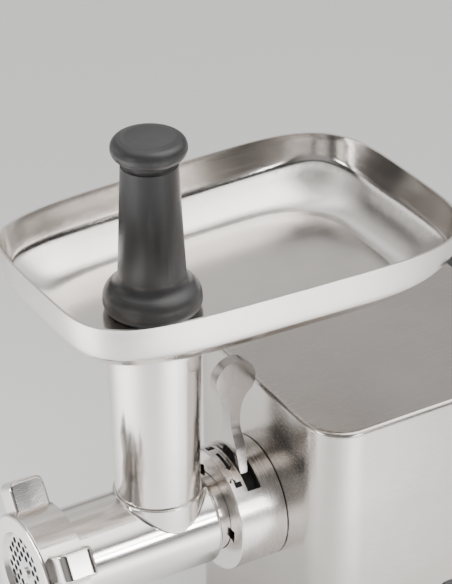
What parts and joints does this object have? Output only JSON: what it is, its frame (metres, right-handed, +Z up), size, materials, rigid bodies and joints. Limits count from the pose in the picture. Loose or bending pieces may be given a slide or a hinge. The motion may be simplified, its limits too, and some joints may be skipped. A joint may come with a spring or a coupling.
{
  "type": "electric meat grinder",
  "caption": "Tabletop electric meat grinder: boxy steel housing, geared motor, locking collar with lever, screw-feed grinding head, deep tray and food pusher.",
  "frame": {"origin": "on the table, under the middle of the machine's outline", "axes": "+Z up; -Y towards the outlet end of the grinding head; +Y towards the rear of the housing; +X towards the side the lock lever opens to and the switches are on"},
  "size_m": [0.1976, 0.416, 0.4485],
  "materials": {
    "brushed_tray": "satin",
    "cast_head": "brushed",
    "steel": "ground",
    "black_steel": "blackened",
    "blade_steel": "ground",
    "chrome_collar": "satin",
    "lever_chrome": "satin",
    "housing_steel": "brushed",
    "black_plastic": "fine texture",
    "grey_plastic": "satin",
    "nylon": "natural nylon",
    "rubber": "matte",
    "fastener": "zinc plated",
    "gear_steel": "oiled",
    "bearing_steel": "polished",
    "cast_aluminium": "as cast",
    "lamination": "varnished",
    "copper": "enamelled wire",
    "carbon": "graphite",
    "board_green": "solder mask",
    "button_red": "gloss",
    "sheet_steel": "galvanised"
  },
  "bodies": {
    "machine": {"grinder_head": "cast_head", "auger_bush": "nylon", "grinding_plate": "blade_steel", "plate_key": "steel", "neck_collar": "chrome_collar", "collar_gasket": "rubber", "collar_screws": "fastener", "housing_shell": "housing_steel", "rear_cover": "black_plastic", "rear_cover_screws": "fastener", "rear_frame": "sheet_steel", "base_plate": "sheet_steel", "rubber_feet": "rubber", "foot_screws": "fastener", "output_bearing": "bearing_steel", "gearbox_housing": "cast_aluminium", "gearbox_cover": "cast_aluminium", "gearbox_screws": "fastener", "rotor_bearings": "bearing_steel", "stator_core": "lamination", "stator_coils": "copper", "motor_bracket": "cast_aluminium", "motor_bolts": "fastener", "motor_spacers": "steel", "brush_holders": "black_plastic", "carbon_brushes": "carbon", "motor_cradle": "sheet_steel", "switch_bezel": "black_plastic", "switch_block": "black_plastic", "rocker_pin": "steel", "control_board": "board_green", "overload_breaker": "black_plastic", "cord_gland": "black_plastic"},
    "auger_train": {"auger": "cast_head", "cutting_blade": "blade_steel", "output_gear": "gear_steel", "output_shaft": "steel"},
    "low_layshaft": {"cluster_gear_low": "gear_steel", "layshaft_low": "steel"},
    "high_layshaft": {"cluster_gear_high": "gear_steel", "layshaft_high": "steel"},
    "rotor": {"rotor_shaft": "steel", "rotor_core": "lamination", "rotor_windings": "copper", "commutator": "copper", "cooling_fan": "black_plastic"},
    "ring": {"ring_nut": "cast_head"},
    "lock": {"locking_ring": "black_steel", "locking_lever": "lever_chrome", "lever_screw": "fastener"},
    "tray": {"food_tray": "brushed_tray", "tray_neck": "brushed_tray"},
    "pusher": {"food_pusher": "grey_plastic", "pusher_knob": "grey_plastic"},
    "power_switch": {"power_rocker": "black_plastic"},
    "reverse_switch": {"reverse_rocker": "black_plastic"},
    "reset": {"reset_button": "button_red"}
  },
  "joints": [
    {"name": "auger_spin", "type": "hinge", "parent": "machine", "child": "auger_train", "pos_m": [0, -0.102, 0.145], "axis": [0, 1, 0], "continuous": true},
    {"name": "low_layshaft_spin", "type": "hinge", "parent": "machine", "child": "low_layshaft", "pos_m": [0.021, 0, 0.10863], "axis": [0, 1, 0], "continuous": true},
    {"name": "high_layshaft_spin", "type": "hinge", "parent": "machine", "child": "high_layshaft", "pos_m": [-0.01593, 0, 0.10211], "axis": [0, 1, 0], "continuous": true},
    {"name": "rotor_spin", "type": "hinge", "parent": "machine", "child": "rotor", "pos_m": [0, 0.09, 0.07095], "axis": [0, 1, 0], "continuous": true},
    {"name": "ring_nut_turn", "type": "hinge", "parent": "machine", "child": "ring", "pos_m": [0, -0.19, 0.145], "axis": [0, -1, 0], "range_deg": [0, 180]},
    {"name": "lock_lever_turn", "type": "hinge", "parent": "machine", "child": "lock", "pos_m": [0, -0.044, 0.145], "axis": [0, 1, 0], "range_deg": [0, 16]},
    {"name": "tray_lift", "type": "slide", "parent": "machine", "child": "tray", "axis": [0, 0, 1], "range_m": [0, 0.04]},
    {"name": "pusher_lift", "type": "slide", "parent": "tray", "child": "pusher", "axis": [0, 0, 1], "range_m": [0, 0.15]},
    {"name": "power_rocker_tilt", "type": "hinge", "parent": "machine", "child": "power_switch", "pos_m": [0.083, 0.086, 0.066], "axis": [0, -1, 0], "range_deg": [0, 14]},
    {"name": "reverse_rocker_tilt", "type": "hinge", "parent": "machine", "child": "reverse_switch", "pos_m": [0.083, 0.106, 0.066], "axis": [0, -1, 0], "range_deg": [0, 14], "stiffness_Nm_per_rad": 0.05},
    {"name": "reset_press", "type": "slide", "parent": "machine", "child": "reset", "axis": [0, -1, 0], "range_m": [0, 0.003], "stiffness_N_per_m": 400}
  ],
  "couplings": [
    {"joint": "low_layshaft_spin", "follows": "auger_spin", "ratio": -3},
    {"joint": "high_layshaft_spin", "follows": "auger_spin", "ratio": 12},
    {"joint": "rotor_spin", "follows": "auger_spin", "ratio": -72}
  ]
}
